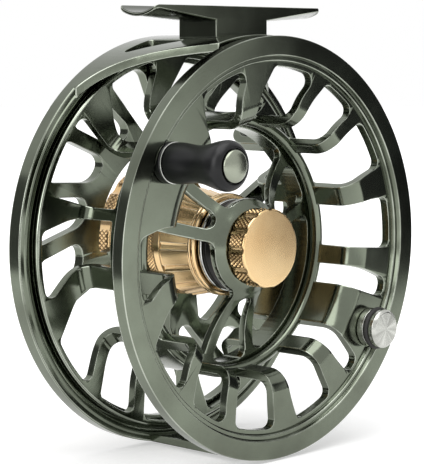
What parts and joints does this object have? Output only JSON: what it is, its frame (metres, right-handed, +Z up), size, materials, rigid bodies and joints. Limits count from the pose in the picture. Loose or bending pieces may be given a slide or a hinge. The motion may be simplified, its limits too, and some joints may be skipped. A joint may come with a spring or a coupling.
{
  "type": "fly reel",
  "caption": "Large-arbor fly reel with a ported spool on an open cage frame, saddle foot, disc drag, release cap, crank handle and counterweight.",
  "frame": {"origin": "middle of the foot's saddle, where the rod's seat bears", "axes": "+Z up toward the rod, -Y forward to the handle side, +X to the right seen from the handle side"},
  "size_m": [0.1006, 0.0653, 0.1076],
  "materials": {
    "olive_anodised": "polished olive-gunmetal anodising",
    "gold_anodised": "satin champagne-gold anodising",
    "black_plastic": "satin",
    "bright_aluminium": "turned bright",
    "stainless_steel": "turned",
    "carbon_disc": "matt woven",
    "black_rubber": "matt"
  },
  "bodies": {
    "reel_frame": {"frame": "olive_anodised", "bridge": "olive_anodised", "bottom_bar": "olive_anodised", "reel_foot": "olive_anodised", "foot_screw_left": "stainless_steel", "foot_screw_right": "stainless_steel", "spindle": "stainless_steel", "spindle_nut": "stainless_steel", "face_ring": "bright_aluminium", "drag_lid": "gold_anodised", "drag_cup": "gold_anodised", "drag_collar": "gold_anodised", "clutch_rotor": "stainless_steel", "front_friction_disc": "carbon_disc", "rear_friction_disc": "carbon_disc"},
    "spool_unit": {"spool_rim": "olive_anodised", "spool_back_rim": "olive_anodised", "spool_web": "olive_anodised", "spool_stave_1": "olive_anodised", "spool_stave_2": "olive_anodised", "spool_stave_3": "olive_anodised", "spool_stave_4": "olive_anodised", "spool_stave_5": "olive_anodised", "spool_stave_6": "olive_anodised", "spool_stave_7": "olive_anodised", "spool_stave_8": "olive_anodised", "spool_stave_9": "olive_anodised", "spool_stave_10": "olive_anodised", "spool_stave_11": "olive_anodised", "spool_stave_12": "olive_anodised", "spool_stave_13": "olive_anodised", "spool_stave_14": "olive_anodised", "hub_bearing": "stainless_steel", "clutch_housing": "black_plastic", "roller_clutch": "stainless_steel", "handle_stud": "stainless_steel", "handle_base": "black_plastic", "handle_washer": "bright_aluminium", "counterweight": "stainless_steel", "counterweight_ring": "black_rubber", "counterweight_screw": "stainless_steel"},
    "handle": {"handle_knob": "black_plastic", "handle_end_cap": "bright_aluminium"},
    "cap": {"release_cap": "gold_anodised"},
    "drag_dial": {"drag_knob": "gold_anodised"},
    "drag_press": {"pressure_plate": "stainless_steel", "push_pin_1": "stainless_steel", "push_pin_2": "stainless_steel", "push_pin_3": "stainless_steel"}
  },
  "joints": [
    {"name": "spool_spin", "type": "hinge", "parent": "reel_frame", "child": "spool_unit", "pos_m": [0, 0, -0.05516], "axis": [0, -1, 0], "continuous": true},
    {"name": "handle_spin", "type": "hinge", "parent": "spool_unit", "child": "handle", "pos_m": [-0.03449, 0, -0.03336], "axis": [0, -1, 0], "continuous": true},
    {"name": "release_cap_turn", "type": "hinge", "parent": "spool_unit", "child": "cap", "pos_m": [0, 0, -0.05516], "axis": [0, -1, 0], "range_deg": [0, 90]},
    {"name": "drag_knob_turn", "type": "hinge", "parent": "reel_frame", "child": "drag_dial", "pos_m": [0, 0, -0.05516], "axis": [0, -1, 0], "range_deg": [0, 300]},
    {"name": "pressure_slide", "type": "slide", "parent": "reel_frame", "child": "drag_press", "axis": [0, -1, 0], "range_m": [0, 0.0003]}
  ],
  "couplings": [
    {"joint": "pressure_slide", "follows": "drag_knob_turn", "m_per_rad": 0.000057295}
  ]
}
